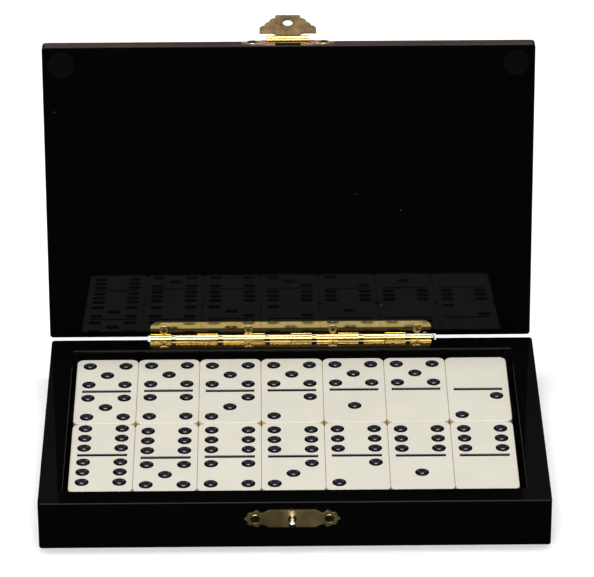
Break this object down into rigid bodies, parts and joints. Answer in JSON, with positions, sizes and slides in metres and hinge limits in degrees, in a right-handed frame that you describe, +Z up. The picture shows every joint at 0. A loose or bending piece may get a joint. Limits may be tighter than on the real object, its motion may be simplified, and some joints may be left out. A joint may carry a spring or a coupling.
{
  "type": "boxed domino set",
  "caption": "Flat black lacquered wooden case, hinged lid standing open, with a brass hasp, holding two layers of cream domino tiles with black pips in a recessed tray.",
  "frame": {"origin": "middle of the underside of the base, on the surface that the case stands on", "axes": "+X to the right along the front, +Y to the back where the hinge is, +Z up"},
  "size_m": [0.1904, 0.1582, 0.1451],
  "materials": {
    "tile": "polished cream-ivory plastic; the pips and the line across the middle are hollows filled with glossy black paint",
    "lacquer": "wood under deep black high-gloss lacquer, edges slightly rounded",
    "tray_floor": "black lacquered thin panel, hidden under the tiles",
    "pad": "matte dark felt-like bumper",
    "hinge_brass": "polished, thinly lacquered",
    "hasp_brass": "polished on the knuckles, satin on the plate",
    "dull_brass": "bronze-brown, dulled and lightly stained",
    "screw": "polished heads with dark cross recesses",
    "stud": "bright plated ball"
  },
  "bodies": {
    "case": {"base_floor": "tray_floor", "base_front_wall": "lacquer", "base_back_wall": "lacquer", "base_left_wall": "lacquer", "base_right_wall": "lacquer", "hinge_leaf_base": "hinge_brass", "hinge_pin": "hinge_brass", "hinge_screw_base_1": "screw", "hinge_screw_base_2": "screw", "hinge_screw_base_3": "screw", "hinge_screw_base_4": "screw", "catch_plate": "dull_brass", "catch_stud": "stud", "catch_screw_left": "dull_brass", "catch_screw_right": "dull_brass"},
    "lid": {"lid_panel": "lacquer", "lid_pad_left": "pad", "lid_pad_right": "pad", "hinge_leaf_lid": "hinge_brass", "hinge_screw_lid_1": "screw", "hinge_screw_lid_2": "screw", "hinge_screw_lid_3": "screw", "hinge_screw_lid_4": "screw", "hasp_plate": "hasp_brass", "hasp_pin": "hasp_brass", "hasp_screw_left": "screw", "hasp_screw_right": "screw"},
    "hasp": {"hasp_leaf": "dull_brass"},
    "tile_4_4": {"tile_4_4": "tile"},
    "tile_5_5": {"tile_5_5": "tile"},
    "tile_4_3": {"tile_4_3": "tile"},
    "tile_5_4": {"tile_5_4": "tile"},
    "tile_4_2": {"tile_4_2": "tile"},
    "tile_5_3": {"tile_5_3": "tile"},
    "tile_4_1": {"tile_4_1": "tile"},
    "tile_5_2": {"tile_5_2": "tile"},
    "tile_4_0": {"tile_4_0": "tile"},
    "tile_5_1": {"tile_5_1": "tile"},
    "tile_3_3": {"tile_3_3": "tile"},
    "tile_5_0": {"tile_5_0": "tile"},
    "tile_3_2": {"tile_3_2": "tile"},
    "tile_2_0": {"tile_2_0": "tile"},
    "tile_3_1": {"tile_3_1": "tile"},
    "tile_6_6": {"tile_6_6": "tile"},
    "tile_3_0": {"tile_3_0": "tile"},
    "tile_6_5": {"tile_6_5": "tile"},
    "tile_2_2": {"tile_2_2": "tile"},
    "tile_6_4": {"tile_6_4": "tile"},
    "tile_2_1": {"tile_2_1": "tile"},
    "tile_6_3": {"tile_6_3": "tile"},
    "tile_1_1": {"tile_1_1": "tile"},
    "tile_6_2": {"tile_6_2": "tile"},
    "tile_1_0": {"tile_1_0": "tile"},
    "tile_6_1": {"tile_6_1": "tile"},
    "tile_0_0": {"tile_0_0": "tile"},
    "tile_6_0": {"tile_6_0": "tile"}
  },
  "joints": [
    {"name": "lid_hinge", "type": "hinge", "parent": "case", "child": "lid", "pos_m": [0, 0.06042, 0.01915], "axis": [-1, 0, 0], "range_deg": [-97.5, 0]},
    {"name": "hasp_hinge", "type": "hinge", "parent": "lid", "child": "hasp", "pos_m": [-0.001, 0.07926, 0.1408], "axis": [-1, 0, 0], "range_deg": [-158, 0]},
    {"name": "lift_4_4", "type": "slide", "parent": "case", "child": "tile_4_4", "axis": [0, 0, 1], "range_m": [0, 0.03]},
    {"name": "lift_5_5", "type": "slide", "parent": "tile_4_4", "child": "tile_5_5", "axis": [0, 0, 1], "range_m": [0, 0.03]},
    {"name": "lift_4_3", "type": "slide", "parent": "case", "child": "tile_4_3", "axis": [0, 0, 1], "range_m": [0, 0.03]},
    {"name": "lift_5_4", "type": "slide", "parent": "tile_4_3", "child": "tile_5_4", "axis": [0, 0, 1], "range_m": [0, 0.03]},
    {"name": "lift_4_2", "type": "slide", "parent": "case", "child": "tile_4_2", "axis": [0, 0, 1], "range_m": [0, 0.03]},
    {"name": "lift_5_3", "type": "slide", "parent": "tile_4_2", "child": "tile_5_3", "axis": [0, 0, 1], "range_m": [0, 0.03]},
    {"name": "lift_4_1", "type": "slide", "parent": "case", "child": "tile_4_1", "axis": [0, 0, 1], "range_m": [0, 0.03]},
    {"name": "lift_5_2", "type": "slide", "parent": "tile_4_1", "child": "tile_5_2", "axis": [0, 0, 1], "range_m": [0, 0.03]},
    {"name": "lift_4_0", "type": "slide", "parent": "case", "child": "tile_4_0", "axis": [0, 0, 1], "range_m": [0, 0.03]},
    {"name": "lift_5_1", "type": "slide", "parent": "tile_4_0", "child": "tile_5_1", "axis": [0, 0, 1], "range_m": [0, 0.03]},
    {"name": "lift_3_3", "type": "slide", "parent": "case", "child": "tile_3_3", "axis": [0, 0, 1], "range_m": [0, 0.03]},
    {"name": "lift_5_0", "type": "slide", "parent": "tile_3_3", "child": "tile_5_0", "axis": [0, 0, 1], "range_m": [0, 0.03]},
    {"name": "lift_3_2", "type": "slide", "parent": "case", "child": "tile_3_2", "axis": [0, 0, 1], "range_m": [0, 0.03]},
    {"name": "lift_2_0", "type": "slide", "parent": "tile_3_2", "child": "tile_2_0", "axis": [0, 0, 1], "range_m": [0, 0.03]},
    {"name": "lift_3_1", "type": "slide", "parent": "case", "child": "tile_3_1", "axis": [0, 0, 1], "range_m": [0, 0.03]},
    {"name": "lift_6_6", "type": "slide", "parent": "tile_3_1", "child": "tile_6_6", "axis": [0, 0, 1], "range_m": [0, 0.03]},
    {"name": "lift_3_0", "type": "slide", "parent": "case", "child": "tile_3_0", "axis": [0, 0, 1], "range_m": [0, 0.03]},
    {"name": "lift_6_5", "type": "slide", "parent": "tile_3_0", "child": "tile_6_5", "axis": [0, 0, 1], "range_m": [0, 0.03]},
    {"name": "lift_2_2", "type": "slide", "parent": "case", "child": "tile_2_2", "axis": [0, 0, 1], "range_m": [0, 0.03]},
    {"name": "lift_6_4", "type": "slide", "parent": "tile_2_2", "child": "tile_6_4", "axis": [0, 0, 1], "range_m": [0, 0.03]},
    {"name": "lift_2_1", "type": "slide", "parent": "case", "child": "tile_2_1", "axis": [0, 0, 1], "range_m": [0, 0.03]},
    {"name": "lift_6_3", "type": "slide", "parent": "tile_2_1", "child": "tile_6_3", "axis": [0, 0, 1], "range_m": [0, 0.03]},
    {"name": "lift_1_1", "type": "slide", "parent": "case", "child": "tile_1_1", "axis": [0, 0, 1], "range_m": [0, 0.03]},
    {"name": "lift_6_2", "type": "slide", "parent": "tile_1_1", "child": "tile_6_2", "axis": [0, 0, 1], "range_m": [0, 0.03]},
    {"name": "lift_1_0", "type": "slide", "parent": "case", "child": "tile_1_0", "axis": [0, 0, 1], "range_m": [0, 0.03]},
    {"name": "lift_6_1", "type": "slide", "parent": "tile_1_0", "child": "tile_6_1", "axis": [0, 0, 1], "range_m": [0, 0.03]},
    {"name": "lift_0_0", "type": "slide", "parent": "case", "child": "tile_0_0", "axis": [0, 0, 1], "range_m": [0, 0.03]},
    {"name": "lift_6_0", "type": "slide", "parent": "tile_0_0", "child": "tile_6_0", "axis": [0, 0, 1], "range_m": [0, 0.03]}
  ]
}
